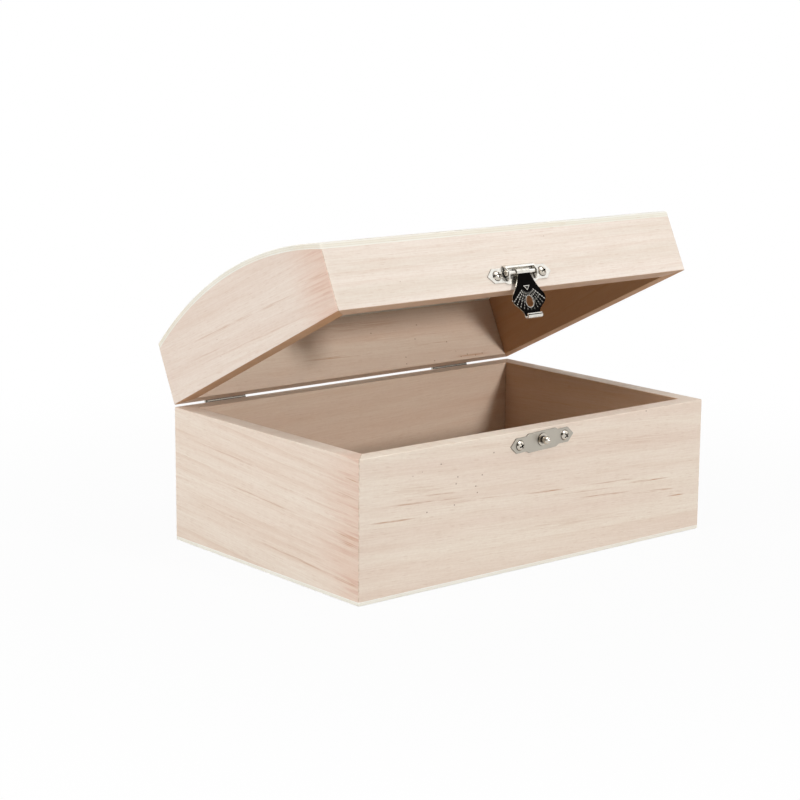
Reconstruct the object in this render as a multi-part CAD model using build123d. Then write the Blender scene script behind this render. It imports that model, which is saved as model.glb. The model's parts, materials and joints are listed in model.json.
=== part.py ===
from build123d import *
from math import asin, cos, degrees, radians, sin
import os

# A small wooden chest: a mitred box on a plywood floor, a lid with a curved plywood roof,
# two surface hinges on the back and a stamped metal latch on the front.
# Millimetres and degrees. The origin lies under the middle of the floor, +X runs along the
# long side, +Y points at the hinges and +Z up. The lid stands ajar.

# The box
box_length = 200.0
box_depth = 132.0
rim_height = 60.7
wall = 8.0
floor_sheet = 1.8

# The lid, measured while it is shut
shut_gap = 0.2
lid_side = 28.4
crown_rise = 11.8
roof_sheet = 2.3

# Sanded edges of the wood
corner_round = 1.1
edge_round = 0.4

# How far the lid has turned from shut
lid_angle = 25.7

# The two hinges on the back: three knuckles each, on a pin that is closed over at its ends
left_hinge_inset = 18.1
right_hinge_inset = 26.9
leaf_length = 21.0
leaf_height = 9.0
leaf_sheet = 0.65
leaf_corner = 1.2
hinge_pin_radius = 0.6
knuckle_count = 3
knuckle_gap = 0.16
knuckle_stand_off = 0.1
leaf_screw_inset = 3.6
leaf_screw_end = 4.2

# Running clearances of the pins, and the room left round a turning knuckle
pin_clearance = 0.05
knuckle_room = 0.25
pin_end = 0.4

# Cross-headed screws: low heads on the hinges, whose leaves fold close, and tall ones on the latch
screw_cover = 1.2
screw_point = 2.2
screw_tip_share = 0.2
screw_radius = 1.0
screw_hole_clearance = 0.05
head_radius = 2.1
head_edge = 0.2
hinge_head_height = 0.7
latch_head_height = 1.6
dish_radius = 2.3
dish_depth = 0.42
cross_length = 2.5
cross_width = 0.6
cross_depth_share = 0.62
cross_turn = 22.0

# The two stamped latch plates, alike in outline, and how far one lies above the lid's lower edge
latch_offset = -0.5
latch_rise = 6.8
catch_tilt = 2.5
plate_length = 36.4
plate_tip = 3.2
plate_end_width = 6.5
plate_middle_length = 18.8
plate_middle_width = 8.3
plate_ramp = 1.6
plate_sheet = 0.5
plate_corner = 0.4
plate_screw_end = 5.2

# The ball stud that the flap's hole passes over
stud_rise = 0.4
stud_flange_radius = 2.7
stud_flange = 0.35
stud_neck_radius = 1.2
stud_ball_radius = 1.7
stud_ball_reach = 2.6
stud_cover = 4.0

# The housing on the lid's plate that carries the flap's pin
latch_pin_radius = 0.9
latch_pin_rise = 0.4
latch_stand_off = 0.2
housing_length = 16.8
housing_sheet = 0.6
hood_room = 0.65
lug_wall = 0.65
lug_drop = 3.3

# The flap: a sheet rolled round its pin, flared, holed and curled to a finger lip
flap_sheet = 0.55
neck_width = 7.2
flap_width = 18.8
flap_length = 19.4
flap_side_shares = (0.383, 0.08), (0.6, 0.3), (0.93, 0.51), (1.0, 0.6), (0.9, 0.72)
flap_foot_shares = (0.62, 0.84), (0.49, 0.915), (0.44, 1.0)
hole_drop = 12.4
hole_fall = 1.2
hole_clearance = 0.05
hole_flare = 0.35
rest_gap = 0.1
lip_radius = 1.25
lip_sweep = 235.0

# The ornament pressed into the flap: a small triangle and a fan of rays under it
groove_width = 0.34
groove_depth = 0.16
triangle_width = 4.0
triangle_height = 2.3
triangle_drop = 6.2
fan_drop = 5.4
fan_start = 4.2
fan_ray = 7.6
fan_rays = 9
fan_spread = 80.0
fan_ring_shares = (0.184, 0.5)

# How far a cutting shape runs past what it cuts
overrun = 2.0

# Places worked out from the sizes above
lid_base = rim_height + shut_gap
eave_height = lid_base + lid_side
crown_height = eave_height + crown_rise
roof_radius = ((box_depth / 2) ** 2 + crown_rise**2) / (2 * crown_rise)
roof_centre = crown_height - roof_radius
knuckle_radius = hinge_pin_radius + pin_clearance + leaf_sheet
hinge_reach = knuckle_radius + knuckle_stand_off
hinge_height = rim_height + shut_gap / 2
lid_axis = Axis((0, box_depth / 2 + hinge_reach, hinge_height), (-1, 0, 0))
left_hinge_x = -box_length / 2 + left_hinge_inset + leaf_length / 2
right_hinge_x = box_length / 2 - right_hinge_inset - leaf_length / 2
leaf_screw_spacing = leaf_length - 2 * leaf_screw_end
plate_screw_spacing = plate_length - 2 * plate_screw_end
screw_hole_radius = screw_radius + screw_hole_clearance
screw_length = wall - screw_cover
stud_shank = wall - stud_cover
stud_shank_radius = stud_neck_radius - pin_clearance
flap_roll_radius = latch_pin_radius + pin_clearance + flap_sheet
flap_back = latch_pin_radius + pin_clearance
latch_pin_reach = flap_roll_radius + latch_stand_off
latch_plate_height = lid_base + latch_rise
catch_plate_height = latch_plate_height + latch_pin_rise - hole_drop - stud_rise
hole_top_radius = stud_ball_radius + hole_clearance
hole_low_radius = hole_top_radius + hole_flare
hood_low = latch_pin_rise + flap_roll_radius + hood_room
hood_round = plate_middle_width / 2 - hood_low

# The flap leans until its back clears the stud's flange by the rest gap
flange_top = plate_sheet + stud_flange
flap_lean = degrees(asin(
    (latch_pin_reach + flap_back - flange_top - rest_gap) / (hole_drop + stud_flange_radius)
))

hang = (Align.CENTER, Align.CENTER, Align.MAX)
stand = (Align.CENTER, Align.CENTER, Align.MIN)


def open_lid(piece):
    """Turn a piece of the shut lid about the hinges to where it stands."""
    return piece.rotate(lid_axis, lid_angle)


def front_face(x, height, tilt=0):
    """A place on the front: its own x runs along +X, its y up and its z outward."""
    return Pos(x, -box_depth / 2, height) * Rot(90, 0, 0) * Rot(0, 0, tilt)


def back_face(x, height):
    """A place on the back: its own x runs along -X, its y up and its z outward."""
    return Pos(x, box_depth / 2, height) * Rot(90, 180, 0)


def upright_block(length, depth, low, high):
    """A block round the Z axis, from one height to another."""
    return Pos(0, 0, low) * Box(length, depth, high - low, align=stand)


def mitre_wedge(side_length, side_distance, turn):
    """The room between two mitre planes that one of the four sides may fill."""
    outer = side_length / 2 + overrun
    inner = side_length / 2 - wall - overrun
    near = side_distance + overrun
    far = side_distance - wall - overrun
    outline = Polyline((-outer, -near), (outer, -near), (inner, -far), (-inner, -far), close=True)
    prism = extrude(make_face(outline), crown_height + overrun)
    return Rot(0, 0, turn) * prism


def four_sides(ring):
    """Cut a ring of wood at its mitres into front, right, back and left."""
    long_side = (box_length, box_depth / 2)
    short_side = (box_depth, box_length / 2)
    sides = []
    for index, size in enumerate((long_side, short_side, long_side, short_side)):
        sides.append(ring & mitre_wedge(*size, 90 * index))
    return sides


def rounded_block(low, high):
    """The outside of the box between two heights, with its upright corners rounded."""
    block = upright_block(box_length, box_depth, low, high)
    return fillet(block.edges().filter_by(Axis.Z), corner_round)


def cavity():
    """The room inside the four sides, from below the floor to above the roof."""
    low = -overrun
    high = crown_height + overrun
    return upright_block(box_length - 2 * wall, box_depth - 2 * wall, low, high)


def box_ring():
    """The four walls of the box as one ring, with a rounded rim."""
    ring = rounded_block(floor_sheet, rim_height) - cavity()
    return fillet(ring.edges().group_by(Axis.Z)[-1], edge_round)


def floor_panel():
    """The plywood sheet under the walls, whose edge shows all round."""
    sheet = rounded_block(0, floor_sheet)
    return fillet(sheet.edges().group_by(Axis.Z)[0], edge_round)


def lid_block():
    """The outside of the shut lid: upright sides under one arc, rounded at the corners and eaves."""
    half = box_depth / 2
    sides = Polyline((-half, eave_height), (-half, lid_base), (half, lid_base), (half, eave_height))
    arc = ThreePointArc((half, eave_height), (0, crown_height), (-half, eave_height))
    block = extrude(Plane.YZ * make_face(sides + arc), box_length / 2, both=True)
    block = fillet(block.edges().filter_by(Axis.Z), corner_round)
    return fillet(block.faces().sort_by(Axis.Z)[-1].edges(), edge_round)


def under_roof():
    """All that lies below the underside of the roof."""
    core = Cylinder(roof_radius - roof_sheet, box_length + 2 * overrun)
    return Pos(0, 0, roof_centre) * Rot(0, 90, 0) * core


def lid_ring():
    """The rails and gables of the shut lid as one ring, with a rounded lower edge."""
    ring = (lid_block() & under_roof()) - cavity()
    return fillet(ring.edges().group_by(Axis.Z)[0], edge_round)


def lid_roof():
    """The plywood sheet that is bent over the gables."""
    return lid_block() - under_roof()


def screw_room():
    """The countersunk hole of one screw, in the sheet and in the wood behind it."""
    dish = Cone(screw_hole_radius, dish_radius, dish_depth, align=hang)
    return dish + Cylinder(screw_hole_radius, screw_length + screw_hole_clearance, align=hang)


def screw(head_height, turn):
    """One cross-headed screw, with its head on the sheet at height 0 and its point below."""
    flank = (head_radius - screw_radius) / (dish_radius - screw_hole_radius) * dish_depth
    seat_low = -dish_depth
    seat_high = seat_low + flank
    shank = Pos(0, 0, seat_low) * Cylinder(
        screw_radius, screw_length - screw_point - dish_depth, align=hang
    )
    point = Pos(0, 0, screw_point - screw_length) * Cone(
        screw_radius * screw_tip_share, screw_radius, screw_point, align=hang
    )
    seat = Pos(0, 0, seat_low) * Cone(screw_radius, head_radius, flank, align=stand)
    dome_rise = head_height - head_edge
    dome_radius = (head_radius**2 + dome_rise**2) / (2 * dome_rise)
    head = Pos(0, 0, seat_high) * Cylinder(head_radius, head_height - seat_high, align=stand)
    head &= Pos(0, 0, head_height - dome_radius) * Sphere(dome_radius)
    cross_depth = cross_depth_share * head_height
    cross = Box(cross_length, cross_width, cross_depth, align=hang)
    cross += Box(cross_width, cross_length, cross_depth, align=hang)
    return Rot(0, 0, turn) * (shank + point + seat + head - Pos(0, 0, head_height) * cross)


def screws(spots, sheet, spacing, head_height, turned=0):
    """A pair of screws on each face in spots, standing on a sheet and spaced along its own x."""
    pieces = []
    for face in spots:
        for side in (-1, 1):
            turn = turned + cross_turn * len(pieces)
            pieces.append(face * Pos(side * spacing / 2, 0, sheet) * screw(head_height, turn))
    return pieces


def hinge_screws(spots):
    """The screws of one leaf of each hinge."""
    return Compound(screws(spots, leaf_sheet, leaf_screw_spacing, hinge_head_height))


def latch_screws(spots, turned=0):
    """The screws of one latch plate."""
    return Compound(screws(spots, plate_sheet, plate_screw_spacing, latch_head_height, turned))


def screw_rooms(spots, sheet, spacing):
    """The holes for the screws that the same values would place."""
    rooms = []
    for face in spots:
        for side in (-1, 1):
            rooms.append(face * Pos(side * spacing / 2, 0, sheet) * screw_room())
    return rooms


def leaf_screw_face(x, side):
    """Where a leaf's two screws stand: side is 1 on the lid and -1 on the box."""
    return back_face(x, hinge_height + side * (leaf_height - leaf_screw_inset))


def knuckle(index, radius):
    """One of the hinge's knuckles as a plain cylinder, counted along the pin."""
    pitch = leaf_length / knuckle_count
    place = pitch * (index - (knuckle_count - 1) / 2)
    return Pos(place, 0, hinge_reach) * Rot(0, 90, 0) * Cylinder(radius, pitch - knuckle_gap)


def hinge_leaf(x, side, knuckles):
    """One leaf of a hinge: a plate on the wood with tongues that roll round the pin."""
    start = knuckle_radius + knuckle_room
    plate = Box(leaf_length, leaf_height - start, leaf_sheet, align=stand)
    plate = Pos(0, side * (leaf_height + start) / 2, 0) * plate
    far_edges = plate.edges().filter_by(Axis.Z).sort_by(Axis.Y)
    far_edges = far_edges[-2:] if side > 0 else far_edges[:2]
    leaf = fillet(far_edges, leaf_corner)
    pitch = leaf_length / knuckle_count
    for index in knuckles:
        place = pitch * (index - (knuckle_count - 1) / 2)
        tongue = Box(pitch - knuckle_gap, start, leaf_sheet, align=stand)
        leaf += Pos(place, side * start / 2, 0) * tongue
        leaf += knuckle(index, knuckle_radius)
    bore = Rot(0, 90, 0) * Cylinder(hinge_pin_radius + pin_clearance, leaf_length + 2 * overrun)
    leaf -= Pos(0, 0, hinge_reach) * bore
    leaf = back_face(x, hinge_height) * leaf
    for room in screw_rooms([leaf_screw_face(x, side)], leaf_sheet, leaf_screw_spacing):
        leaf -= room
    return leaf


def hinge_pin(x):
    """The pin of a hinge, a little longer than its leaves."""
    pin = Rot(0, 90, 0) * Cylinder(hinge_pin_radius, leaf_length + 2 * pin_end)
    return back_face(x, hinge_height) * Pos(0, 0, hinge_reach) * pin


def plate_outline():
    """The outline of a latch plate: a wide middle, narrower arms and pointed ends."""
    quarter = [
        (plate_length / 2, 0),
        (plate_length / 2 - plate_tip, plate_end_width / 2),
        (plate_middle_length / 2, plate_end_width / 2),
        (plate_middle_length / 2 - plate_ramp, plate_middle_width / 2),
    ]
    upper = quarter + [(-x, y) for x, y in reversed(quarter)]
    lower = [(x, -y) for x, y in reversed(upper[1:-1])]
    return make_face(Polyline(*upper, *lower, close=True))


def stamped_plate():
    """A latch plate lying on height 0, with its two countersunk holes."""
    plate = extrude(plate_outline(), plate_sheet)
    plate = fillet(plate.edges().filter_by(Axis.Z), plate_corner)
    for room in screw_rooms([Pos(0, 0, 0)], plate_sheet, plate_screw_spacing):
        plate -= room
    return plate


def catch_face():
    """The place of the box's plate, turned a little as it was fastened."""
    return front_face(latch_offset, catch_plate_height, catch_tilt)


def lid_plate_face():
    """The place of the lid's plate, while the lid is shut."""
    return front_face(latch_offset, latch_plate_height)


def catch_stud():
    """The ball stud: a shank pressed into the wood, a flange, a neck and a ball."""
    stud = Cylinder(stud_shank_radius, stud_shank, align=hang)
    stud += Cylinder(stud_shank_radius, plate_sheet, align=stand)
    stud += Pos(0, 0, plate_sheet) * Cylinder(stud_flange_radius, stud_flange, align=stand)
    neck = Cylinder(stud_neck_radius, stud_ball_reach, align=stand)
    stud += Pos(0, 0, plate_sheet) * neck
    stud += Pos(0, 0, plate_sheet + stud_ball_reach) * Sphere(stud_ball_radius)
    return Pos(0, stud_rise, 0) * stud


def stud_room():
    """The hole for the stud's shank, in the plate and in the wood behind it."""
    hole = Cylinder(stud_neck_radius, stud_shank + pin_clearance, align=hang)
    return Pos(0, stud_rise, 0) * (hole + Cylinder(stud_neck_radius, plate_sheet, align=stand))


def hood_arch(length, radius):
    """A quarter of a round bar along the pin, under the plate's upper edge."""
    corner = Pos(0, hood_low, plate_sheet)
    bar = corner * Rot(0, 90, 0) * Cylinder(radius, length)
    return bar & corner * Box(length, radius, radius, align=(Align.CENTER, Align.MIN, Align.MIN))


def housing_lug():
    """One cheek of the housing, seen along the pin: straight under the hood, round below."""
    low = latch_pin_rise - lug_drop
    front = latch_pin_reach + latch_pin_radius + pin_clearance + lug_wall
    hood_lip = plate_sheet + hood_round
    back = Polyline((low, 0), (hood_low, 0), (hood_low, hood_lip), (latch_pin_rise, front))
    round_front = TangentArc((latch_pin_rise, front), (low, 0), tangent=(-1, 0))
    cheek = extrude(Plane.YZ * make_face(back + round_front), housing_sheet / 2, both=True)
    return cheek + hood_arch(housing_sheet, hood_round)


def latch_plate():
    """The lid's plate, with its window, its two cheeks and the rounded hood between them."""
    plate = stamped_plate()
    room = flap_roll_radius + knuckle_room
    window = Box(neck_width + 2 * knuckle_room, 2 * room, plate_sheet + overrun)
    plate -= Pos(0, latch_pin_rise, 0) * window
    for side in (-1, 1):
        plate += Pos(side * (housing_length - housing_sheet) / 2, 0, 0) * housing_lug()
    inside = housing_length + overrun
    plate += hood_arch(housing_length, hood_round) - hood_arch(inside, hood_round - plate_sheet)
    bore = Rot(0, 90, 0) * Cylinder(latch_pin_radius + pin_clearance, housing_length + overrun)
    return plate - Pos(0, latch_pin_rise, latch_pin_reach) * bore


def latch_pin():
    """The pin of the flap, a little longer than the housing."""
    pin = Rot(0, 90, 0) * Cylinder(latch_pin_radius, housing_length + 2 * pin_end)
    return Pos(0, latch_pin_rise, latch_pin_reach) * pin


def flap_point(share):
    """A point of the flap's outline, from its share of the half width and of the length."""
    across, down = share
    return (across * flap_width / 2, -down * flap_length)


def flap_outline():
    """The flap's sheet laid flat: a neck, a flare, round shoulders and a scooped foot."""
    neck = (neck_width / 2, 0)
    side = [flap_point(share) for share in flap_side_shares]
    foot = [flap_point(share) for share in flap_foot_shares]
    half = Polyline(neck, side[0])
    half += ThreePointArc(side[0], side[1], side[2])
    half += ThreePointArc(side[2], side[3], side[4])
    half += Polyline(side[4], foot[0])
    half += ThreePointArc(foot[0], foot[1], foot[2])
    other = mirror(half, Plane.YZ)
    top = Line((-neck_width / 2, 0), neck)
    bottom = Line(foot[2], (-foot[2][0], foot[2][1]))
    return make_face(half + other + top + bottom)


def hole_outline():
    """The egg-shaped hole: the stud stands in its upper end, and its lower end is wider."""
    top = Vector(0, -hole_drop)
    low = Vector(0, -hole_drop - hole_fall)
    slope = asin(hole_flare / hole_fall)
    right = Vector(cos(slope), sin(slope))
    left = Vector(-right.X, right.Y)
    down = Vector(0, -hole_low_radius)
    up = Vector(0, hole_top_radius)
    edges = Line(top + right * hole_top_radius, low + right * hole_low_radius)
    edges += ThreePointArc(low + right * hole_low_radius, low + down, low + left * hole_low_radius)
    edges += Line(low + left * hole_low_radius, top + left * hole_top_radius)
    edges += ThreePointArc(top + left * hole_top_radius, top + up, top + right * hole_top_radius)
    return make_face(edges)


def triangle_groove():
    """The pressed outline of a small triangle that points down the flap."""
    high = -triangle_drop
    low = high - triangle_height
    half = triangle_width / 2
    outer = make_face(Polyline((-half, high), (half, high), (0, low), close=True))
    inner = offset(outer, -groove_width)
    return extrude(outer - inner, groove_depth)


def fan_grooves():
    """Rays that fan out under the triangle, and the two arcs that cross them."""
    rays = []
    for index in range(fan_rays):
        angle = fan_spread * index / (fan_rays - 1) - fan_spread / 2
        ray = Box(groove_width, fan_ray, groove_depth, align=hang)
        rays.append(Rot(0, 0, angle) * Pos(0, -fan_start - fan_ray / 2, groove_depth) * ray)
    reach = fan_start + fan_ray
    side = Vector(reach * sin(radians(fan_spread / 2)), -reach * cos(radians(fan_spread / 2)))
    wedge = extrude(make_face(Polyline((0, 0), side, (-side.X, side.Y), close=True)), groove_depth)
    arcs = []
    for share in fan_ring_shares:
        radius = fan_start + share * fan_ray
        ring = Cylinder(radius + groove_width / 2, groove_depth, align=stand)
        ring -= Cylinder(radius - groove_width / 2, groove_depth, align=stand)
        arcs.append(ring & wedge)
    return [Pos(0, -fan_drop, 0) * groove for groove in rays + arcs]


def flap_lip():
    """The finger lip, curled outward and up from the foot of the flap."""
    middle = (-flap_length, flap_back + lip_radius)
    outer = CenterArc(middle, lip_radius, -90, -lip_sweep)
    inner = CenterArc(middle, lip_radius - flap_sheet, -90, -lip_sweep)
    ends = Line(outer @ 0, inner @ 0) + Line(outer @ 1, inner @ 1)
    half_width = flap_foot_shares[-1][0] * flap_width / 2
    return extrude(Plane.YZ * make_face(outer + inner + ends), half_width, both=True)


def latch_flap():
    """The flap about its pin: rolled knuckle, holed and pressed sheet, and finger lip."""
    sheet = extrude(flap_outline(), flap_sheet) - extrude(hole_outline(), flap_sheet)
    for groove in [triangle_groove()] + fan_grooves():
        sheet -= Pos(0, 0, flap_sheet - groove_depth) * groove
    roll = Rot(0, 90, 0) * Cylinder(flap_roll_radius, neck_width)
    flap = Pos(0, 0, flap_back) * sheet + roll + flap_lip()
    flap -= Rot(0, 90, 0) * Cylinder(latch_pin_radius + pin_clearance, neck_width + overrun)
    return Pos(0, latch_pin_rise, latch_pin_reach) * Rot(flap_lean, 0, 0) * flap


def drilled(piece, rooms):
    """A piece of wood with the holes that its screws and stud need."""
    for room in rooms:
        piece -= room
    return piece


def box_parts():
    """Everything that stands still: the box, its hinge leaves and pins, and the catch."""
    front, right, back, left = four_sides(box_ring())
    hinges = (left_hinge_x, right_hinge_x)
    leaf_spots = [leaf_screw_face(x, -1) for x in hinges]
    catch_rooms = screw_rooms([catch_face()], plate_sheet, plate_screw_spacing)
    stud_hole = catch_face() * stud_room()
    return {
        "floor_panel": floor_panel(),
        "front_wall": drilled(front, catch_rooms + [stud_hole]),
        "right_wall": right,
        "back_wall": drilled(back, screw_rooms(leaf_spots, leaf_sheet, leaf_screw_spacing)),
        "left_wall": left,
        "left_hinge_box_leaf": hinge_leaf(left_hinge_x, -1, range(0, knuckle_count, 2)),
        "right_hinge_box_leaf": hinge_leaf(right_hinge_x, -1, range(0, knuckle_count, 2)),
        "left_hinge_pin": hinge_pin(left_hinge_x),
        "right_hinge_pin": hinge_pin(right_hinge_x),
        "hinge_box_screws": hinge_screws(leaf_spots),
        "catch_plate": catch_face() * (stamped_plate() - stud_room()),
        "catch_stud": catch_face() * catch_stud(),
        "catch_screws": latch_screws([catch_face()], cross_turn),
    }


def lid_parts():
    """Everything that turns with the lid, still in its shut place."""
    front, right, back, left = four_sides(lid_ring())
    hinges = (left_hinge_x, right_hinge_x)
    leaf_spots = [leaf_screw_face(x, 1) for x in hinges]
    plate_spots = [lid_plate_face()]
    plate_rooms = screw_rooms(plate_spots, plate_sheet, plate_screw_spacing)
    return {
        "lid_front_rail": drilled(front, plate_rooms),
        "lid_right_gable": right,
        "lid_back_rail": drilled(back, screw_rooms(leaf_spots, leaf_sheet, leaf_screw_spacing)),
        "lid_left_gable": left,
        "lid_roof": lid_roof(),
        "left_hinge_lid_leaf": hinge_leaf(left_hinge_x, 1, range(1, knuckle_count, 2)),
        "right_hinge_lid_leaf": hinge_leaf(right_hinge_x, 1, range(1, knuckle_count, 2)),
        "hinge_lid_screws": hinge_screws(leaf_spots),
        "latch_plate": lid_plate_face() * latch_plate(),
        "latch_pin": lid_plate_face() * latch_pin(),
        "latch_screws": latch_screws(plate_spots),
        "latch_flap": lid_plate_face() * latch_flap(),
    }


def write_parts():
    """Write each piece to its own file, the lid's pieces turned to where the lid stands."""
    os.makedirs("parts", exist_ok=True)
    pieces = box_parts()
    for name, piece in lid_parts().items():
        pieces[name] = open_lid(piece)
    for name, piece in pieces.items():
        piece.label = name
        export_step(piece, f"parts/{name}.step")


write_parts()
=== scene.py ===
import bpy
import json
from math import cos, radians, sin
from mathutils import Matrix, Vector


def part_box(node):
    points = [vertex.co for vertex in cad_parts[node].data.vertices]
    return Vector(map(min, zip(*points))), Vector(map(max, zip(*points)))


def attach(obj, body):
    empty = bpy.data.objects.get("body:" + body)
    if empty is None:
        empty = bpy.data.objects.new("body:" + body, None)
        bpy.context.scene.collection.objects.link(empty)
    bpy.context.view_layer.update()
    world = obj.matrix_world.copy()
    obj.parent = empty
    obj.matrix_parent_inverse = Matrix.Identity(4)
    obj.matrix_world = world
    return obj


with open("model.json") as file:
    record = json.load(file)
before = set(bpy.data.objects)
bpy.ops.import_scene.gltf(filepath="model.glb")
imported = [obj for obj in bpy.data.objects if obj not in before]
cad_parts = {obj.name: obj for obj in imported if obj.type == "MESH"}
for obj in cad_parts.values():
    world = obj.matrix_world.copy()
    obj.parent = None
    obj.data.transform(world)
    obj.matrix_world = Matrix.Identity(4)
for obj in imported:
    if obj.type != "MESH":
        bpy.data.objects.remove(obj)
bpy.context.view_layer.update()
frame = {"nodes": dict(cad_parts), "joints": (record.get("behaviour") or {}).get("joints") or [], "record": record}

# A small bare wooden chest with its lid ajar. Metres in the scene, millimetres inside the
# patterns: each pattern is laid out in its own board's or fitting's directions.
MM = 0.001

# The chest as the frame gives it: its plan from the floor, the two pins, and how far the lid is open
floor_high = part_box("floor_panel")[1]
HALF_LENGTH = floor_high.x / MM
HALF_DEPTH = floor_high.y / MM
FLOOR_SHEET = floor_high.z / MM
joints = {joint["name"]: joint for joint in frame["joints"]}
LID_AXIS = Vector(joints["lid_hinge"]["pos_m"])
FLAP_AXIS = Vector(joints["flap_hinge"]["pos_m"])
LID_OPEN = -radians(joints["lid_hinge"]["range_deg"][0])
BOX_NODES = frame["record"]["behaviour"]["bodies"]["box"]

# Sizes of the wood that the patterns follow, in millimetres
WALL = 8.0
LID_RIM = 60.9
CROWN_RADIUS = 190.5
CROWN_TOP = 101.1
ROOF_SHEET = 2.3

# How near a point has to be to lie on an inner face, on the lid's rim or on a mitre's glue line,
# in millimetres
INSIDE_REACH = 0.45
RIM_REACH = 0.15
MITRE_REACH = 0.28

# Sizes of the flap that its painted dark reflection and painted highlights follow, in millimetres and down from
# the pin:
# its lean, where its flat face starts and ends, its hole, its triangle, its fan, and how wide the bright lines are
FLAP_LEAN = radians(6.46)
FACE_START = 0.9
FACE_END = 19.3
HOLE_TOP = 12.4
HOLE_LOW = 13.6
HOLE_TOP_RADIUS = 1.75
HOLE_LOW_RADIUS = 2.1
TRIANGLE_DROP = 6.2
TRIANGLE_HALF_WIDTH = 2.0
TRIANGLE_HEIGHT = 2.3
FAN_DROP = 5.4
FAN_START = 3.9
FAN_END = 11.8
FAN_HALF_PITCH = radians(5.0)
FAN_HALF_SPREAD = radians(52.0)
FAN_ARCS = (5.6, 8.0)
FAN_DASH = 0.65
ARC_LINE = 0.2
TRIANGLE_INSET = 0.2
TRIANGLE_LINE = 0.17

# The camera: where it stands, which way it looks, its lens and its sensor
CAMERA_PLACE = (-0.601506, -0.696647, 0.247045)
CAMERA_AZIMUTH = -39.636
CAMERA_ELEVATION = 11.372
CAMERA_ROLL = 0.403
CAMERA_LENS = 93.94
CAMERA_SENSOR = 36

# The pin's heads: their size, how finely they are cut, and for each the x of the hood's cheek that
# it sits on, in millimetres, and the way out
PIN_HEAD_RADIUS = 1.3
PIN_HEAD_HEIGHT = 0.8
PIN_HEAD_SIDES = 40
PIN_HEAD_ROUNDS = 6
CHEEKS = {"left_pin_head": (-8.9, -1), "right_pin_head": (7.9, 1)}

# The lamps: azimuth and elevation, distance, size and watts. They aim at the chest's middle.
SOFTBOXES = {
    "front_softbox": (11.3, 15.5, 2.0, 0.2, 21.5),
    "top_softbox": (-12, 78, 1.6, 1.2, 13.5),
    "left_softbox": (-100, 20, 1.6, 1.0, 18),
    "right_softbox": (75, 35, 1.8, 1.0, 2),
    "back_softbox": (165, 35, 1.8, 1.2, 6),
}
AIM_HEIGHT = 0.06
ROOM_LIGHT = 0.07

# The floor: its size, how much plain white is laid over it near the chest, so that the rest still
# shows the shadow, and the distances in millimetres between which it turns fully white
FLOOR_SIZE = 12.0
FLOOR_WHITE = 0.95
WHITE_START = 120.0
WHITE_END = 420.0

# The kinds of node that the patterns are built from
MAPPING = "ShaderNodeMapping"
NOISE = "ShaderNodeTexNoise"
CELLS = "ShaderNodeTexVoronoi"
MATH = "ShaderNodeMath"
VECTOR = "ShaderNodeVectorMath"
RANGE = "ShaderNodeMapRange"
MIX = "ShaderNodeMix"
SPLIT = "ShaderNodeSeparateXYZ"


def linear(code):
    """An sRGB hex colour as the linear colour that a shader takes."""
    channels = [int(code[i : i + 2], 16) / 255 for i in (0, 2, 4)]
    return [c / 12.92 if c <= 0.04045 else ((c + 0.055) / 1.055) ** 2.4 for c in channels] + [1.0]


def add(tree, kind, inputs, out=0, **settings):
    """Add a node with its settings; each input is a value or a socket. Returns one of its outputs."""
    node = tree.nodes.new(kind)
    for name, value in settings.items():
        setattr(node, name, value)
    for name, value in inputs.items():
        if isinstance(value, bpy.types.NodeSocket):
            tree.links.new(value, node.inputs[name])
        else:
            node.inputs[name].default_value = value
    return node.outputs[out]


def new_material(name, **values):
    """A material with a Principled shader and the shader's plain values, and its node tree."""
    material = bpy.data.materials.new(name)
    material.use_nodes = True
    shader = material.node_tree.nodes["Principled BSDF"]
    for socket, value in values.items():
        shader.inputs[socket.replace("_", " ")].default_value = value
    return material, material.node_tree, shader


def shut_place(node):
    """The matrix that takes a point of a node, where it stands, to where it is with the lid shut."""
    if node in BOX_NODES:
        return Matrix.Identity(4)
    turn = Matrix.Rotation(LID_OPEN, 4, "X")
    return Matrix.Translation(LID_AXIS) @ turn @ Matrix.Translation(-LID_AXIS)


def board_place(node, lean):
    """A board's own directions: x along its grain, which leans a little, y through it and z up."""
    low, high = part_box(node)
    turn = Matrix.Rotation(radians(90 if high.y - low.y > high.x - low.x else 0), 4, "Z")
    return Matrix.Rotation(radians(lean), 4, "Y") @ turn @ shut_place(node)


def laid_out(tree, matrix):
    """Object coordinates taken through a matrix, in millimetres."""
    place = add(tree, "ShaderNodeTexCoord", {}, "Object")
    spot = matrix.to_translation() / MM
    turn = matrix.to_euler()
    return add(tree, MAPPING, {"Vector": place, "Location": spot, "Rotation": turn, "Scale": [1 / MM] * 3})


def streaks(tree, place, sizes, seed, low, high, detail=2.0):
    """Soft shapes as large as sizes in each direction, in millimetres: 0 below a level, 1 above one."""
    shape = add(tree, MAPPING, {"Vector": place, "Scale": [1 / size for size in sizes]})
    inputs = {"Vector": shape, "W": seed, "Scale": 1.0, "Detail": detail}
    soft = add(tree, NOISE, inputs, noise_dimensions="4D")
    return add(tree, RANGE, {0: soft, 1: low, 2: high}, interpolation_type="SMOOTHSTEP")


def flecks(tree, place, sizes, seed, reach, share):
    """Separate long or round flecks: one in some of the cells of a grid, each fading at its rim."""
    shift = (seed, 0.0, seed)
    shape = add(tree, MAPPING, {"Vector": place, "Scale": [1 / size for size in sizes], "Location": shift})
    distance = add(tree, CELLS, {"Vector": shape, "Scale": 1.0}, "Distance")
    pick = add(tree, "ShaderNodeSeparateColor", {0: distance.node.outputs["Color"]})
    inside = {0: distance, 1: reach / 2, 2: reach, 3: 1.0, 4: 0.0}
    spot = add(tree, RANGE, inside, interpolation_type="SMOOTHSTEP")
    chosen = add(tree, MATH, {0: pick, 1: share}, operation="LESS_THAN")
    return add(tree, MATH, {0: spot, 1: chosen}, operation="MULTIPLY")


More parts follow.
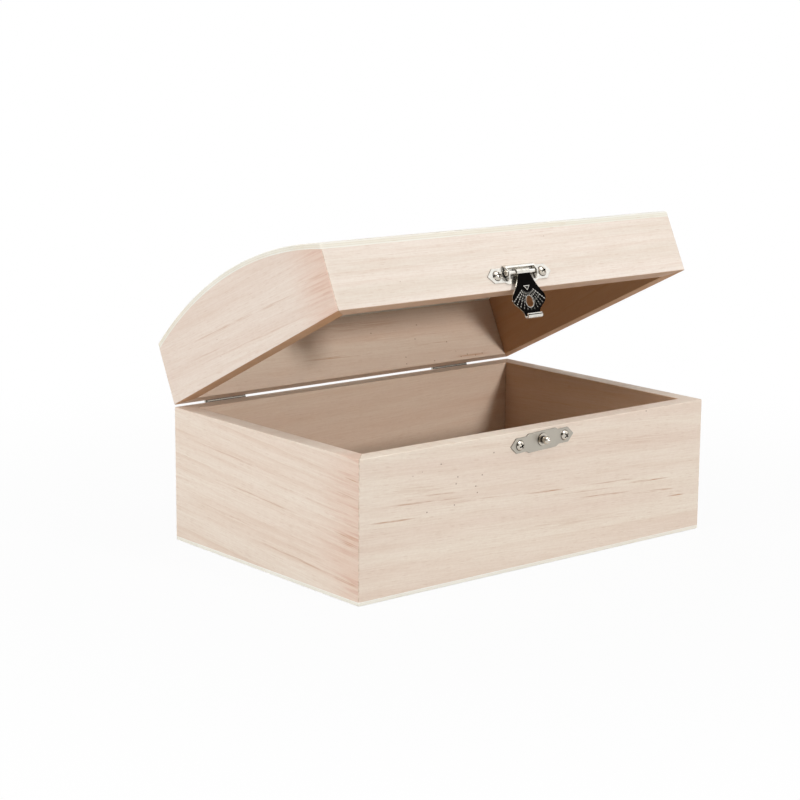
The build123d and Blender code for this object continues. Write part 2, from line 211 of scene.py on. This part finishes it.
def oval(tree, board, lean, x, z, half_length, half_height):
    """A soft oval place on a board's face: 1 at its middle and 0 past its rim."""
    middle = Matrix.Rotation(radians(lean), 3, "Y") @ Vector((x, 0, z))
    size = (half_length, 4 * HALF_LENGTH, half_height)
    around = add(tree, MAPPING, {"Vector": board, "Location": middle, "Scale": size}, vector_type="TEXTURE")
    distance = add(tree, VECTOR, {0: around}, "Value", operation="LENGTH")
    fade = {0: distance, 1: 0.3, 2: 1.0, 3: 1.0, 4: 0.0}
    return add(tree, RANGE, fade, interpolation_type="SMOOTHSTEP")


def stain(tree, under, mask, strength, code):
    """Lay a colour over another where a mask says, at a strength."""
    share = add(tree, MATH, {0: mask, 1: strength}, operation="MULTIPLY")
    return add(tree, MIX, {0: share, 6: under, 7: linear(code)}, 2, data_type="RGBA")


def growth_lines(tree, board, spacing, seed):
    """The dark late wood of each year: it deepens slowly over the year and ends at a sharp line."""
    height = add(tree, SPLIT, {0: board}, 2)
    slow = streaks(tree, board, (300, 60, 50), seed, 0.2, 0.8, 1.0)
    wander = streaks(tree, board, (40, 30, 9), seed + 3, 0.2, 0.8)
    phase = add(tree, MATH, {0: height, 1: 1 / spacing, 2: seed}, operation="MULTIPLY_ADD")
    phase = add(tree, MATH, {0: slow, 1: 1.0, 2: phase}, operation="MULTIPLY_ADD")
    phase = add(tree, MATH, {0: wander, 1: 0.14, 2: phase}, operation="MULTIPLY_ADD")
    year = add(tree, MATH, {0: phase}, operation="FRACT")
    late = add(tree, RANGE, {0: year, 1: 0.45, 2: 0.93}, interpolation_type="SMOOTHSTEP")
    ended = add(tree, RANGE, {0: year, 1: 0.95, 2: 1.0, 3: 1.0, 4: 0.0})
    return add(tree, MATH, {0: late, 1: ended}, operation="MULTIPLY")


def from_middle(tree, place, axis):
    """How far a point lies from the chest's middle, to either side along one axis."""
    return add(tree, MATH, {0: add(tree, SPLIT, {0: place}, axis)}, operation="ABSOLUTE")


def painted_inner_shade(tree, node):
    """Where the warm brown painted shade goes: 1 on the faces that look into the chest and on the lid's sawn rims,
    and 0 elsewhere.
    """
    place = laid_out(tree, shut_place(node))
    inside = 1.0
    for axis, half in enumerate((HALF_LENGTH, HALF_DEPTH)):
        near = {0: from_middle(tree, place, axis), 1: half - WALL + INSIDE_REACH}
        near = add(tree, MATH, near, operation="LESS_THAN")
        inside = add(tree, MATH, {0: near, 1: inside}, operation="MULTIPLY")
    height = add(tree, SPLIT, {0: place}, 2)
    rim = add(tree, MATH, {0: height, 1: LID_RIM, 2: RIM_REACH}, operation="COMPARE")
    return add(tree, MATH, {0: inside, 1: rim}, operation="MAXIMUM")


def mitre_line(tree, node, seed):
    """The hairline of glue where two boards meet at their mitre, broken along its length."""
    place = laid_out(tree, shut_place(node))
    along, depth = from_middle(tree, place, 0), from_middle(tree, place, 1)
    gap = add(tree, MATH, {0: along, 1: depth}, operation="SUBTRACT")
    line = {0: gap, 1: HALF_LENGTH - HALF_DEPTH, 2: MITRE_REACH}
    line = add(tree, MATH, line, operation="COMPARE")
    broken = streaks(tree, place, (2, 2, 2), seed + 23, 0.4, 0.6)
    return add(tree, MATH, {0: line, 1: broken}, operation="MULTIPLY")


def paulownia(node, seed, tones, lean, lines, spacing=9.0, marks=(), pins=(), redder=None, inner_shade=0.5):
    """Bare sanded paulownia: pale, dull and soft, with broad faint bands, straight fibres, growth
    lines that darken slowly and end sharply, short broken red-brown pores and a few pin specks.
    The faces that look into the chest and the lid's sawn rims are browned with painted shade."""
    plain = {"IOR": 1.5, "Specular_IOR_Level": 0.3}
    material, tree, shader = new_material("sanded_paulownia_" + node, **plain)
    board = laid_out(tree, board_place(node, lean))
    pale, rosy = tones

    broad = streaks(tree, board, (260, 60, 11), seed, 0.36, 0.66, 1.0)
    colour = add(tree, MIX, {0: broad, 6: linear(pale), 7: linear(rosy)}, 2, data_type="RGBA")

    # The lines come and go along the board
    years = growth_lines(tree, board, spacing, seed + 2)
    shown = streaks(tree, board, (80, 40, 9), seed + 7, 0.36, 0.66)
    years = add(tree, MATH, {0: years, 1: shown}, operation="MULTIPLY")
    colour = stain(tree, colour, years, lines, "C9A58C")

    # Fibres and pores are drawn about twice as coarse as the real ones, so that they show
    fibre = streaks(tree, board, (16, 8, 0.5), seed + 11, 0.32, 0.72, 3.0)
    colour = stain(tree, colour, fibre, 0.2, "C8A890")
    pores = flecks(tree, board, (6, 3, 0.65), seed + 13, 0.34, 0.45)
    colour = stain(tree, colour, pores, 0.16, "B58B6E")
    mottle = streaks(tree, board, (1.6, 1.6, 0.9), seed + 19, 0.3, 0.7)
    colour = stain(tree, colour, mottle, 0.09, "BFA08A")

    # Darker strands of pores and pin specks lie in a few places only
    strands = streaks(tree, board, (14, 5, 0.4), seed + 17, 0.4, 0.6)
    for x, z, half_length, half_height, strength in marks:
        spot = oval(tree, board, lean, x, z, half_length, half_height)
        here = add(tree, MATH, {0: strands, 1: spot}, operation="MULTIPLY")
        colour = stain(tree, colour, here, strength, "B07A52")
    for x, z in pins:
        spot = oval(tree, board, lean, x, z, 0.5, 0.45)
        colour = stain(tree, colour, spot, 0.75, "7A4E34")
    specks = flecks(tree, board, (5, 5, 5), seed, 0.07, 0.12)
    colour = stain(tree, colour, specks, 0.5, "94694B")

    # A side board reddens in patches towards the front, where its lines are closer
    if redder:
        along = add(tree, SPLIT, {0: board})
        start, end, strength = redder
        near = add(tree, RANGE, {0: along, 1: start, 2: end}, interpolation_type="SMOOTHSTEP")
        patches = streaks(tree, board, (34, 20, 9), seed + 31, 0.3, 0.62)
        patches = add(tree, RANGE, {0: patches, 3: 0.5, 4: 1.0})
        near = add(tree, MATH, {0: near, 1: patches}, operation="MULTIPLY")
        colour = stain(tree, colour, near, strength, "D9B49F")
        close = streaks(tree, board, (24, 6, 1.0), seed + 29, 0.45, 0.68)
        close = add(tree, MATH, {0: close, 1: near}, operation="MULTIPLY")
        colour = stain(tree, colour, close, 0.42, "BF7F63")

    # Painted shade: the inner faces and the lid's sawn rims are browned, standing in for the shade and the warm
    # bounced light inside the chest
    colour = stain(tree, colour, painted_inner_shade(tree, node), inner_shade, "B67C3E")
    colour = stain(tree, colour, mitre_line(tree, node, seed), 0.5, "9A8468")
    tree.links.new(colour, shader.inputs["Base Color"])

    rough = add(tree, RANGE, {0: fibre, 3: 0.62, 4: 0.78})
    tree.links.new(rough, shader.inputs["Roughness"])
    relief = add(tree, MATH, {0: pores, 1: -0.7, 2: fibre}, operation="MULTIPLY_ADD")
    bump = add(tree, "ShaderNodeBump", {"Strength": 0.3, "Distance": 0.04 * MM, "Height": relief})
    tree.links.new(bump, shader.inputs["Normal"])
    return material


def floor_depth(tree, sheet):
    """How deep a point lies in the floor sheet, from 0 at its underside to 1 at its top."""
    return add(tree, MATH, {0: add(tree, SPLIT, {0: sheet}, 2), 1: FLOOR_SHEET}, operation="DIVIDE")


def roof_depth(tree, sheet):
    """How deep a point lies in the bent roof sheet, measured from the middle of its arc."""
    flat = add(tree, VECTOR, {0: sheet, 1: (0, 1, 1)}, operation="MULTIPLY")
    middle = (0, 0, CROWN_TOP - CROWN_RADIUS)
    radius = add(tree, VECTOR, {0: flat, 1: middle}, "Value", operation="DISTANCE")
    above = add(tree, MATH, {0: radius, 1: CROWN_RADIUS - ROOF_SHEET}, operation="SUBTRACT")
    return add(tree, MATH, {0: above, 1: ROOF_SHEET}, operation="DIVIDE")


def plywood(node, depth_in_sheet, seed, tones):
    """Thin sanded plywood: a creamy veneer with faint grain and small tan flecks, a darker core
    between two hairlines of glue at its bare edges."""
    plain = {"IOR": 1.5, "Specular_IOR_Level": 0.3}
    material, tree, shader = new_material("thin_plywood_" + node, **plain)
    sheet = laid_out(tree, shut_place(node))
    depth = depth_in_sheet(tree, sheet)

    cloud = streaks(tree, sheet, (120, 22, 22), seed + 5, 0.35, 0.7)
    colour = add(tree, MIX, {0: cloud, 6: linear(tones[0]), 7: linear(tones[1])}, 2, data_type="RGBA")
    lines = growth_lines(tree, sheet, 17.0, seed)
    colour = stain(tree, colour, lines, 0.14, "D8BE9C")
    fibre = streaks(tree, sheet, (40, 0.8, 0.8), seed, 0.35, 0.75, 3.0)
    colour = stain(tree, colour, fibre, 0.14, "D2BD9F")
    pores = flecks(tree, sheet, (8, 0.8, 0.8), seed, 0.3, 0.3)
    colour = stain(tree, colour, pores, 0.16, "BE9A74")
    core = add(tree, MATH, {0: depth, 1: 0.5, 2: 0.2}, operation="COMPARE")
    colour = stain(tree, colour, core, 0.16, "D5C6A4")
    for level in (0.3, 0.7):
        glue = add(tree, MATH, {0: depth, 1: level, 2: 0.035}, operation="COMPARE")
        colour = stain(tree, colour, glue, 0.3, "B49C78")
    tree.links.new(colour, shader.inputs["Base Color"])

    tree.links.new(add(tree, RANGE, {0: fibre, 3: 0.6, 4: 0.76}), shader.inputs["Roughness"])
    bump = add(tree, "ShaderNodeBump", {"Strength": 0.3, "Distance": 0.04 * MM, "Height": fibre})
    tree.links.new(bump, shader.inputs["Normal"])
    return material


def painted_recess_shade(tree, reach):
    """1 deep in a corner or a recess of a fitting, where shade falls and dark brown painted shade goes, and 0 in
    the open.
    """
    inputs = {"Distance": reach * MM}
    open_share = add(tree, "ShaderNodeAmbientOcclusion", inputs, "AO", samples=8)
    fade = {0: open_share, 1: 0.5, 2: 0.92, 3: 1.0, 4: 0.0}
    return add(tree, RANGE, fade, interpolation_type="SMOOTHSTEP")


def nickel(name, tone, roughness, scratch, recess_shade, reach=0.9):
    """Nickel-plated stamped steel: a warm white metal with a soft haze, fine random scratches
    and dark brown painted shade in its corners and recesses."""
    material, tree, shader = new_material(name, Metallic=1.0)
    place = laid_out(tree, Matrix.Identity(4))
    haze = streaks(tree, place, (2.5, 2.5, 2.5), 1.0, 0.3, 0.7, 3.0)
    colour = stain(tree, linear(tone), haze, 0.25, "A8A296")
    # Painted shade: dark brown laid into the corners and recesses, where little light reaches
    colour = stain(tree, colour, painted_recess_shade(tree, reach), recess_shade, "1C110A")
    tree.links.new(colour, shader.inputs["Base Color"])
    rough = add(tree, MATH, {0: haze, 1: 0.1, 2: roughness}, operation="MULTIPLY_ADD")
    tree.links.new(rough, shader.inputs["Roughness"])
    # The scratches are drawn about three times as wide as real ones, so that they show
    fine = streaks(tree, place, (2.5, 0.12, 0.12), 5.0, 0.3, 0.7)
    bump = add(tree, "ShaderNodeBump", {"Strength": scratch, "Distance": 0.01 * MM, "Height": fine})
    tree.links.new(bump, shader.inputs["Normal"])
    return material


def flap_place():
    """The matrix from where the flap stands to its own directions: y up from the pin, z outward."""
    turn = Matrix.Rotation(radians(90) - LID_OPEN + FLAP_LEAN, 4, "X")
    return (Matrix.Translation(FLAP_AXIS) @ turn).inverted()


def flap_face(tree, drop):
    """1 on the flap's flat front, between its rolled knuckle and its lip, and 0 on its edges."""
    facing = add(tree, "ShaderNodeTexCoord", {}, "Normal")
    turn = flap_place().to_euler()
    facing = add(tree, MAPPING, {"Vector": facing, "Rotation": turn}, vector_type="NORMAL")
    front = add(tree, MATH, {0: add(tree, SPLIT, {0: facing}, 2), 1: 0.9}, operation="GREATER_THAN")
    middle = (FACE_START + FACE_END) / 2
    on_face = {0: drop, 1: middle, 2: FACE_END - middle}
    between = add(tree, MATH, on_face, operation="COMPARE")
    return add(tree, MATH, {0: front, 1: between}, operation="MULTIPLY")


def hole_rim(tree, across, drop):
    """A painted highlight: a bright ring round the egg-shaped hole, kept clear of the painted dark reflection."""
    way = add(tree, RANGE, {0: drop, 1: HOLE_TOP, 2: HOLE_LOW})
    radius = add(tree, RANGE, {0: way, 3: HOLE_TOP_RADIUS, 4: HOLE_LOW_RADIUS})
    middle = add(tree, RANGE, {0: way, 3: HOLE_TOP, 4: HOLE_LOW})
    off = add(tree, MATH, {0: drop, 1: middle}, operation="SUBTRACT")
    spot = add(tree, "ShaderNodeCombineXYZ", {0: across, 1: off})
    distance = add(tree, VECTOR, {0: spot}, "Value", operation="LENGTH")
    outside = add(tree, MATH, {0: distance, 1: radius}, operation="SUBTRACT")
    fade = {0: outside, 1: 0.15, 2: 0.35, 3: 0.85, 4: 0.0}
    return add(tree, RANGE, fade, interpolation_type="SMOOTHSTEP")


def triangle_line(tree, across, drop):
    """A painted highlight: the raised-looking bright outline of the small triangle under the neck."""
    below = add(tree, MATH, {0: drop, 1: TRIANGLE_DROP}, operation="SUBTRACT")
    side = add(tree, MATH, {0: across, 1: 1 / TRIANGLE_HALF_WIDTH, 2: -1.0}, operation="MULTIPLY_ADD")
    side = add(tree, MATH, {0: below, 1: 1 / TRIANGLE_HEIGHT, 2: side}, operation="MULTIPLY_ADD")
    steep = (1 / TRIANGLE_HALF_WIDTH**2 + 1 / TRIANGLE_HEIGHT**2) ** 0.5
    side = add(tree, MATH, {0: side, 1: steep}, operation="DIVIDE")
    above = add(tree, MATH, {0: below, 1: -1.0}, operation="MULTIPLY")
    outside = add(tree, MATH, {0: side, 1: above}, operation="MAXIMUM")
    line = {0: outside, 1: -TRIANGLE_INSET, 2: TRIANGLE_LINE}
    return add(tree, MATH, line, operation="COMPARE")


def fan_lines(tree, across, drop):
    """Painted highlights: the fan's rays as broken bright lines, and its two fainter arcs, over the pressed
    grooves.
    """
    down = add(tree, MATH, {0: drop, 1: FAN_DROP}, operation="SUBTRACT")
    angle = add(tree, MATH, {0: across, 1: down}, operation="ARCTAN2")
    spot = add(tree, "ShaderNodeCombineXYZ", {0: across, 1: down})
    radius = add(tree, VECTOR, {0: spot}, "Value", operation="LENGTH")
    off = add(tree, MATH, {0: angle, 1: FAN_HALF_PITCH}, operation="PINGPONG")
    off = add(tree, MATH, {0: off, 1: radius}, operation="MULTIPLY")
    ray = add(tree, RANGE, {0: off, 1: 0.1, 2: 0.24, 3: 0.9, 4: 0.0}, interpolation_type="SMOOTHSTEP")
    dash = add(tree, MATH, {0: radius, 1: FAN_DASH}, operation="PINGPONG")
    dash = add(tree, RANGE, {0: dash, 1: 0.2, 2: 0.5, 3: 0.3, 4: 1.0}, interpolation_type="SMOOTHSTEP")
    ray = add(tree, MATH, {0: ray, 1: dash}, operation="MULTIPLY")
    middle = (FAN_START + FAN_END) / 2
    along = add(tree, MATH, {0: radius, 1: middle, 2: FAN_END - middle}, operation="COMPARE")
    lines = add(tree, MATH, {0: ray, 1: along}, operation="MULTIPLY")
    for arc in FAN_ARCS:
        ring = add(tree, MATH, {0: radius, 1: arc, 2: ARC_LINE}, operation="COMPARE")
        ring = add(tree, MATH, {0: ring, 1: 0.3}, operation="MULTIPLY")
        lines = add(tree, MATH, {0: lines, 1: ring}, operation="MAXIMUM")
    spread = add(tree, MATH, {0: angle, 1: 0.0, 2: FAN_HALF_SPREAD}, operation="COMPARE")
    return add(tree, MATH, {0: lines, 1: spread}, operation="MULTIPLY")


def flap_finish():
    """Nickel plate with a painted dark reflection, near-black, over its flat front; the pressed triangle,
    the fan and the rim of the hole are left bright as painted highlights."""
    material, tree, shader = new_material("nickel_flap_painted_dark_reflection", Metallic=1.0)
    place = laid_out(tree, flap_place())
    across = add(tree, MATH, {0: add(tree, SPLIT, {0: place}), 1: 0.0}, operation="ABSOLUTE")
    drop = add(tree, MATH, {0: add(tree, SPLIT, {0: place}, 1), 1: -1.0}, operation="MULTIPLY")
    bright = hole_rim(tree, across, drop)
    for lines in (triangle_line(tree, across, drop), fan_lines(tree, across, drop)):
        bright = add(tree, MATH, {0: bright, 1: lines}, operation="MAXIMUM")
    # The bright lines are painted highlights: the painted dark reflection and the painted shade are kept off them
    off_highlights = add(tree, MATH, {0: 1.0, 1: bright}, operation="SUBTRACT")
    black = add(tree, MATH, {0: flap_face(tree, drop), 1: off_highlights}, operation="MULTIPLY")

    haze = streaks(tree, place, (2.0, 2.0, 2.0), 3.0, 0.3, 0.7, 3.0)
    tones = {0: haze, 6: linear("E4E1DA"), 7: linear("CFCBC2")}
    colour = add(tree, MIX, tones, 2, data_type="RGBA")
    # Painted shade in the recesses, kept off the painted highlights
    recess_shade = add(tree, MATH, {0: painted_recess_shade(tree, 0.7), 1: off_highlights}, operation="MULTIPLY")
    colour = stain(tree, colour, recess_shade, 0.85, "1C110A")
    # Painted dark reflection: near-black laid over the flat front, but not on the painted highlights
    colour = stain(tree, colour, black, 1.0, "0B0908")
    tree.links.new(colour, shader.inputs["Base Color"])
    rough = add(tree, RANGE, {0: haze, 3: 0.16, 4: 0.26})
    tree.links.new(rough, shader.inputs["Roughness"])
    height = add(tree, MATH, {0: bright, 1: haze}, operation="ADD")
    bump = add(tree, "ShaderNodeBump", {"Strength": 0.4, "Distance": 0.05 * MM, "Height": height})
    tree.links.new(bump, shader.inputs["Normal"])
    return material


def dress(node, material):
    """Give a piece of the frame its finish in every slot."""
    for slot in frame["nodes"][node].material_slots:
        slot.material = material


# The marks of the boards, in millimetres from the chest's middle and up from its floor. A mark is
# x, z, its half length, its half height and its strength, and a pin speck is x and z.
FRONT_MARKS = (
    (40, 25.4, 20, 0.55, 0.95),
    (70, 22.4, 17, 0.55, 0.85),
    (88, 18.0, 12, 0.55, 0.9),
    (64, 28.0, 20, 0.5, 0.8),
    (44, 30.6, 20, 0.5, 0.6),
    (2, 32.3, 14, 0.8, 0.8),
    (22, 29.0, 30, 0.5, 0.4),
    (-66, 38.2, 30, 0.5, 0.75),
    (-82, 32.7, 17, 0.5, 0.75),
    (-40, 35.0, 30, 0.5, 0.45),
    (-57, 40.2, 12, 0.45, 0.7),
    (20, 16.0, 60, 2.6, 0.22),
    (-70, 43.5, 28, 3.0, 0.2),
    (50, 48.0, 45, 3.5, 0.18),
    (0, 55.0, 60, 2.0, 0.15),
)
FRONT_PINS = (
    (-27.9, 53.6),
    (-57.0, 52.8),
    (-47.8, 46.1),
    (-34.3, 45.0),
    (-48.7, 43.3),
    (-37.8, 40.7),
    (-36.9, 37.8),
    (-49.5, 34.4),
    (-64.4, 33.6),
    (63.1, 59.9),
)
SIDE_MARKS = (
    (0, 31.8, 45, 0.7, 0.5),
    (57, 44.4, 12, 0.6, 0.85),
    (62, 51.5, 7, 0.5, 0.7),
    (26, 11.0, 42, 0.7, 0.5),
    (57, 8.6, 14, 0.7, 0.8),
    (59, 27.6, 11, 1.6, 0.7),
    (60, 24.6, 9, 1.4, 0.7),
    (58, 33.0, 12, 0.6, 0.5),
    (-20, 46.0, 45, 0.6, 0.35),
    (30, 38.5, 30, 0.6, 0.35),
    (-30, 20.0, 35, 0.6, 0.3),
)
GABLE_MARKS = (
    (0, 79.0, 64, 0.8, 0.45),
    (5, 68.3, 52, 0.6, 0.35),
    (57, 78.0, 9, 1.0, 0.4),
    (60, 70.0, 6, 0.6, 0.5),
    (-30, 73.5, 30, 0.6, 0.25),
)
BACK_RAIL_MARKS = (
    (-10, 70.6, 26, 0.7, 0.6),
    (49, 70.9, 14, 0.7, 0.6),
    (5, 84.5, 44, 3.0, 0.35),
    (30, 76.5, 50, 1.2, 0.25),
    (70, 62.6, 14, 1.2, 0.5),
)
BACK_RAIL_PINS = (
    (41.7, 81.2),
    (13.0, 80.0),
    (38.4, 74.4),
    (57.3, 70.9),
    (29.8, 66.1),
    (46.6, 62.4),
    (29.1, 62.8),
    (63.7, 62.6),
    (68.0, 63.4),
    (73.0, 62.3),
    (77.6, 62.9),
)


def dress_wood():
    """Every board is its own cut of the tree; the short boards are the pinker ones. A cut is its
    seed, two tones, how its grain leans, how strong its lines are and how far apart, its marks, its
    pin specks, where and how much it reddens, and how strong the painted warm shade on its inner faces is."""
    long_tones = ("E9DDCE", "E3D2C3")
    rail_tones = ("EADFD4", "E1D6C9")
    short_tones = ("E9DDCF", "E4D4C5")
    gable_tones = ("E5D8CC", "DFCEC1")
    wall_front = (30.0, 68.0, 0.42)
    gable_front = (30.0, 66.0, 0.62)
    boards = {
        "front_wall": (1.0, long_tones, -3.0, 0.14, 9.0, FRONT_MARKS, FRONT_PINS, None, 0.3),
        "back_wall": (5.0, long_tones, 1.5, 0.18, 8.0, (), (), None, 0.3),
        "lid_front_rail": (9.0, rail_tones, 0.3, 0.18, 4.0, (), (), None, 0.6),
        "lid_back_rail": (13.0, long_tones, -1.0, 0.2, 6.0, BACK_RAIL_MARKS, BACK_RAIL_PINS, None, 0.24),
        "left_wall": (17.0, short_tones, -4.0, 0.24, 5.0, SIDE_MARKS, (), wall_front, 0.4),
        "right_wall": (29.0, short_tones, 3.0, 0.24, 6.0, SIDE_MARKS, (), None, 0.6),
        "lid_left_gable": (23.0, gable_tones, -3.5, 0.12, 6.0, GABLE_MARKS, (), gable_front, 0.72),
        "lid_right_gable": (31.0, short_tones, 3.0, 0.2, 7.0, GABLE_MARKS, (), None, 0.8),
    }
    for node, cut in boards.items():
        dress(node, paulownia(node, *cut))
    dress("floor_panel", plywood("floor_panel", floor_depth, 37.0, ("F6F5EF", "F1EFE6")))
    dress("lid_roof", plywood("lid_roof", roof_depth, 41.0, ("EBE9E1", "E5E3D9")))


def dress_fittings():
    """The latch, the hinges and the screws."""
    satin = nickel("satin_nickel_catch", "A9A399", 0.36, 0.5, 0.8)
    bright = nickel("bright_nickel_latch", "ECE9E2", 0.18, 0.25, 0.85)
    # This tone, darker and warmer than the latch's, is a painted reflection of warm brown surroundings; these
    # parts also get the widest painted recess shade
    shiny = nickel("bright_nickel_screws", "CFC7BB", 0.12, 0.15, 1.0, 1.6)
    dress("catch_plate", satin)
    for node in ("latch_plate", "latch_pin"):
        dress(node, bright)
    for name, (x, outward) in CHEEKS.items():
        head = pin_head(name, x, outward)
        head.data.materials.append(shiny)
    for node in ("catch_stud", "catch_screws", "latch_screws", "hinge_box_screws", "hinge_lid_screws"):
        dress(node, shiny)
    for side in ("left", "right"):
        for part in ("box_leaf", "lid_leaf", "pin"):
            dress(f"{side}_hinge_{part}", satin)
    dress("latch_flap", flap_finish())


def pin_head(name, x, outward):
    """A small domed head that closes one end of the latch pin against the hood's cheek."""
    low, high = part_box("latch_pin")
    middle = (low + high) / 2
    place = (x * MM + outward * PIN_HEAD_HEIGHT * MM / 2, middle.y, middle.z)
    size = {"radius": PIN_HEAD_RADIUS * MM, "depth": PIN_HEAD_HEIGHT * MM, "vertices": PIN_HEAD_SIDES}
    bpy.ops.object.select_all(action="DESELECT")
    bpy.ops.mesh.primitive_cylinder_add(location=place, rotation=(0, radians(90), 0), **size)
    head = bpy.context.object
    head.name = name
    bpy.ops.object.transform_apply(location=True, rotation=True, scale=True)
    outer = x * MM + outward * PIN_HEAD_HEIGHT * MM
    bpy.ops.object.mode_set(mode="EDIT")
    bpy.ops.mesh.select_all(action="DESELECT")
    bpy.ops.object.mode_set(mode="OBJECT")
    for face in head.data.polygons:
        face.select = abs(face.center.x - outer) < MM / 100
    bpy.ops.object.mode_set(mode="EDIT")
    bpy.ops.mesh.bevel(offset=0.8 * PIN_HEAD_HEIGHT * MM, segments=PIN_HEAD_ROUNDS, profile=0.5)
    bpy.ops.mesh.select_all(action="SELECT")
    bpy.ops.mesh.normals_make_consistent(inside=False)
    bpy.ops.object.mode_set(mode="OBJECT")
    bpy.ops.object.shade_smooth_by_angle(angle=radians(35))
    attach(head, "lid")
    return head


def toward(azimuth, elevation):
    """The way from the chest to a lamp, a card or the camera: 0 is at the front, 90 on the right."""
    side, height = radians(azimuth), radians(elevation)
    return Vector((sin(side) * cos(height), -cos(side) * cos(height), sin(height)))


def camera():
    """The camera at the viewing angle, with a long lens and a slight roll."""
    roll = radians(CAMERA_ROLL)
    back = toward(CAMERA_AZIMUTH, CAMERA_ELEVATION)
    right = toward(CAMERA_AZIMUTH + 90, 0)
    up = back.cross(right)
    rolled_right = cos(roll) * right + sin(roll) * up
    rolled_up = back.cross(rolled_right)
    bpy.ops.object.camera_add(location=CAMERA_PLACE)
    eye = bpy.context.object
    eye.name = "studio_camera"
    turn = Matrix((rolled_right, rolled_up, back)).transposed()
    eye.matrix_world = Matrix.Translation(CAMERA_PLACE) @ turn.to_4x4()
    eye.data.sensor_width = CAMERA_SENSOR
    eye.data.lens = CAMERA_LENS
    bpy.context.scene.camera = eye


def softbox(name, azimuth, elevation, distance, size, watts):
    """A square lamp that faces the chest's middle."""
    way = toward(azimuth, elevation)
    aim = Vector((0, 0, AIM_HEIGHT))
    bpy.ops.object.light_add(type="AREA", location=aim + distance * way)
    lamp = bpy.context.object
    lamp.name = name
    lamp.rotation_euler = way.to_track_quat("Z", "Y").to_euler()
    lamp.data.size = size
    lamp.data.energy = watts


def black_card(name, azimuth, elevation, distance, size):
    """A black card that only shiny metal shows, so that its edges and domes read against the white."""
    way = toward(azimuth, elevation)
    bpy.ops.mesh.primitive_plane_add(size=size, location=distance * way)
    card = bpy.context.object
    card.name = name
    card.rotation_euler = way.to_track_quat("Z", "Y").to_euler()
    material, tree, shader = new_material("black_card", Roughness=0.9)
    dull = streaks(tree, laid_out(tree, Matrix.Identity(4)), (90, 90, 90), 0.0, 0.3, 0.7)
    colour = add(tree, MIX, {0: dull, 6: linear("241C14"), 7: linear("302419")}, 2, data_type="RGBA")
    tree.links.new(colour, shader.inputs["Base Color"])
    card.data.materials.append(material)
    card.visible_camera = False
    card.visible_diffuse = False
    card.visible_shadow = False
    card.visible_transmission = False


def seen_rays(tree):
    """1 for what the camera, a mirror or glass sees, and 0 for light that falls on a surface."""
    rays = add(tree, "ShaderNodeLightPath", {}).node.outputs
    seen = add(tree, MATH, {0: rays["Is Camera Ray"], 1: rays["Is Glossy Ray"]}, operation="MAXIMUM")
    return add(tree, MATH, {0: seen, 1: rays["Is Transmission Ray"]}, operation="MAXIMUM")


def lights():
    """A low light in front, which reaches in under the lid, softer ones above, on the left, on
    the right and behind, and even light all round."""
    for name, lamp in SOFTBOXES.items():
        softbox(name, *lamp)
    black_card("left_black_card", -78, 18, 0.9, 1.0)
    world = bpy.data.worlds.new("studio_room")
    world.use_nodes = True
    tree = world.node_tree
    strength = add(tree, RANGE, {0: seen_rays(tree), 3: ROOM_LIGHT, 4: 1.0})
    tree.links.new(strength, tree.nodes["Background"].inputs["Strength"])
    tree.nodes["Background"].inputs["Color"].default_value = (1, 1, 1, 1)
    bpy.context.scene.world = world
    bpy.context.scene.view_settings.view_transform = "Standard"


def studio_floor():
    """A pale floor that shows white to the camera and keeps the chest's soft shadow."""
    bpy.ops.mesh.primitive_plane_add(size=FLOOR_SIZE)
    floor = bpy.context.object
    floor.name = "studio_floor"
    plain = {"Base_Color": linear("C8C8C8"), "Roughness": 0.9, "Specular_IOR_Level": 0.2}
    material, tree, shader = new_material("matt_white_paper", **plain)
    far = add(tree, VECTOR, {0: laid_out(tree, Matrix.Identity(4))}, "Value", operation="LENGTH")
    fade = {0: far, 1: WHITE_START, 2: WHITE_END, 3: FLOOR_WHITE, 4: 1.0}
    share = add(tree, RANGE, fade, interpolation_type="SMOOTHSTEP")
    share = add(tree, MATH, {0: seen_rays(tree), 1: share}, operation="MULTIPLY")
    glow = add(tree, "ShaderNodeEmission", {"Color": (1, 1, 1, 1), "Strength": 1.0})
    mixed = add(tree, "ShaderNodeMixShader", {0: share, 1: shader.outputs[0], 2: glow})
    tree.links.new(mixed, tree.nodes["Material Output"].inputs["Surface"])
    floor.data.materials.append(material)


bpy.ops.object.select_all(action="DESELECT")
camera()
dress_wood()
dress_fittings()
lights()
studio_floor()
